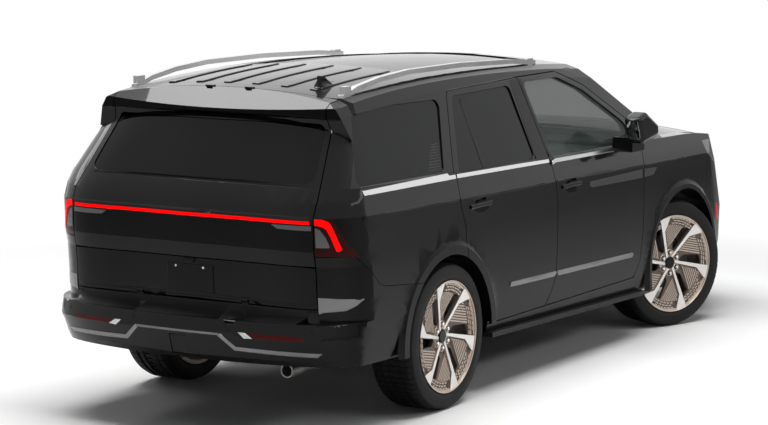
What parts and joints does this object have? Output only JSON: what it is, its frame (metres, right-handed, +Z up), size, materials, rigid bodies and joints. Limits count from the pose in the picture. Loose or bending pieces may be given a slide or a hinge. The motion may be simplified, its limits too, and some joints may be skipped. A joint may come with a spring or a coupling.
{
  "type": "full-size suv",
  "caption": "Full-size luxury sport utility vehicle with hinged doors, hood and split tailgate, steered front wheels and bright multi-spoke rims.",
  "frame": {"origin": "on the ground under the middle of the car's length and width", "axes": "+X towards the nose, +Y to the car's left, +Z up"},
  "size_m": [5.3339, 2.3742, 1.92],
  "materials": {
    "paint": "high gloss black",
    "black_trim": "fine grained black",
    "gloss_trim": "piano black",
    "tinted_glass": "dark tint",
    "clear_glass": "light green tint",
    "red_lens": "clear red",
    "lamp_lens": "clear over reflector",
    "bright": "satin bright",
    "tyre": "matt",
    "rim": "machined face over bronze paint",
    "steel": "black coated",
    "cabin": "dark grained",
    "carpet": "dark textured",
    "silencer": "dull"
  },
  "bodies": {
    "car": {"fender_front_right": "paint", "fender_front_left": "paint", "body_side_right": "paint", "body_side_left": "paint", "roof_panel": "paint", "bumper_front": "paint", "bumper_rear": "paint", "cowl": "black_trim", "running_boards": "black_trim", "grille": "gloss_trim", "quarter_glass": "tinted_glass", "roof_glass": "tinted_glass", "windshield": "clear_glass", "tail_lamps": "red_lens", "headlamps": "lamp_lens", "roof_rails": "bright", "chassis_frame": "steel", "engine_block": "steel", "front_suspension": "steel", "rear_axle": "steel", "floor_pan": "carpet", "seats": "cabin", "dashboard": "cabin", "steering_wheel": "cabin", "exhaust": "silencer"},
    "hood": {"hood": "paint"},
    "liftgate": {"liftgate": "paint", "rear_glass": "tinted_glass", "light_bar": "red_lens"},
    "tailgate_lower": {"tailgate_lower": "paint"},
    "front_door_right": {"door_front_right": "paint", "door_glass_front_right": "clear_glass"},
    "rear_door_right": {"door_rear_right": "paint", "door_glass_rear_right": "tinted_glass"},
    "knuckle_right": {"knuckle_front_right": "steel"},
    "front_wheel_right": {"tyre_front_right": "tyre", "rim_front_right": "rim"},
    "rear_wheel_right": {"tyre_rear_right": "tyre", "rim_rear_right": "rim"},
    "front_door_left": {"door_front_left": "paint", "door_glass_front_left": "clear_glass"},
    "rear_door_left": {"door_rear_left": "paint", "door_glass_rear_left": "tinted_glass"},
    "knuckle_left": {"knuckle_front_left": "steel"},
    "front_wheel_left": {"tyre_front_left": "tyre", "rim_front_left": "rim"},
    "rear_wheel_left": {"tyre_rear_left": "tyre", "rim_rear_left": "rim"}
  },
  "joints": [
    {"name": "steer_left", "type": "hinge", "parent": "car", "child": "knuckle_left", "pos_m": [1.697, 0.79, 0.419], "axis": [0, 0, 1], "range_deg": [-10.2, 53.8]},
    {"name": "steer_right", "type": "hinge", "parent": "car", "child": "knuckle_right", "pos_m": [1.697, -0.79, 0.419], "axis": [0, 0, 1], "range_deg": [-10.2, 53.8]},
    {"name": "front_door_right_hinge", "type": "hinge", "parent": "car", "child": "front_door_right", "pos_m": [1.125, -1.01, 0.85], "axis": [0, 0, 1], "range_deg": [0, 66]},
    {"name": "rear_door_right_hinge", "type": "hinge", "parent": "car", "child": "rear_door_right", "pos_m": [-0.083, -1.01, 0.85], "axis": [0, 0, 1], "range_deg": [0, 70]},
    {"name": "front_wheel_right_spin", "type": "hinge", "parent": "knuckle_right", "child": "front_wheel_right", "pos_m": [1.67305, -0.84989, 0.419], "axis": [0.3714, 0.9285, 0], "continuous": true},
    {"name": "rear_wheel_right_spin", "type": "hinge", "parent": "car", "child": "rear_wheel_right", "pos_m": [-1.415, -0.8545, 0.419], "axis": [0, 1, 0], "continuous": true},
    {"name": "front_door_left_hinge", "type": "hinge", "parent": "car", "child": "front_door_left", "pos_m": [1.125, 1.01, 0.85], "axis": [0, 0, -1], "range_deg": [0, 66]},
    {"name": "rear_door_left_hinge", "type": "hinge", "parent": "car", "child": "rear_door_left", "pos_m": [-0.083, 1.01, 0.85], "axis": [0, 0, -1], "range_deg": [0, 70]},
    {"name": "front_wheel_left_spin", "type": "hinge", "parent": "knuckle_left", "child": "front_wheel_left", "pos_m": [1.72095, 0.84989, 0.419], "axis": [0.3714, 0.9285, 0], "continuous": true},
    {"name": "rear_wheel_left_spin", "type": "hinge", "parent": "car", "child": "rear_wheel_left", "pos_m": [-1.415, 0.8545, 0.419], "axis": [0, 1, 0], "continuous": true},
    {"name": "hood_hinge", "type": "hinge", "parent": "car", "child": "hood", "pos_m": [1.495, 0, 1.258], "axis": [0, -1, 0], "range_deg": [0, 45]},
    {"name": "liftgate_hinge", "type": "hinge", "parent": "car", "child": "liftgate", "pos_m": [-2.121, 0, 1.851], "axis": [0, 1, 0], "range_deg": [0, 78]},
    {"name": "tailgate_hinge", "type": "hinge", "parent": "car", "child": "tailgate_lower", "pos_m": [-2.508, 0, 0.737], "axis": [0, -1, 0], "range_deg": [0, 88]}
  ],
  "couplings": [
    {"joint": "steer_right", "follows": "steer_left", "ratio": 1}
  ]
}
